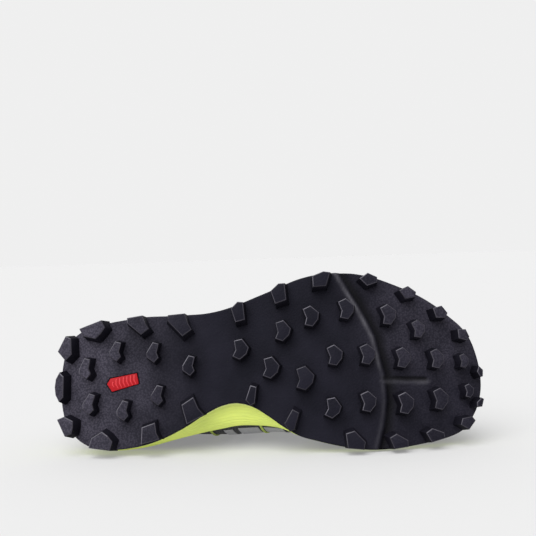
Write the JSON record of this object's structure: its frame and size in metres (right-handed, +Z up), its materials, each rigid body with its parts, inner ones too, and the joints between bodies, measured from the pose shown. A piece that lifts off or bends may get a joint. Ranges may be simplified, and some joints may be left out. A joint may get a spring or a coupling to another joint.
{
  "type": "trail running shoe",
  "caption": "Low right-foot trail running shoe lying on its medial side, studded rubber sole, foam midsole, hollow laced upper.",
  "frame": {"origin": "centre of the footprint on the floor, under the shoe lying on its medial side", "axes": "+X from heel to toe, +Y from the tread to the top of the shoe, +Z up, towards the lateral side"},
  "size_m": [0.2894, 0.1466, 0.1196],
  "materials": {
    "outsole": "matt black rubber with a faint violet cast, fine grain",
    "badge": "satin red",
    "midsole": "matt lime foam",
    "insole": "black knit over foam",
    "upper": "black woven mesh with grey film panels",
    "toe_cap": "matt black film",
    "heel_counter": "matt black film",
    "eyestay": "matt black film",
    "tongue": "black padded mesh",
    "laces": "lime woven flat lace"
  },
  "bodies": {
    "root": {"outsole": "outsole", "outsole_badge": "badge", "midsole": "midsole", "insole": "insole", "upper": "upper", "toe_cap": "toe_cap", "heel_counter": "heel_counter", "eyestay": "eyestay", "tongue": "tongue", "laces": "laces"}
  },
  "joints": []
}
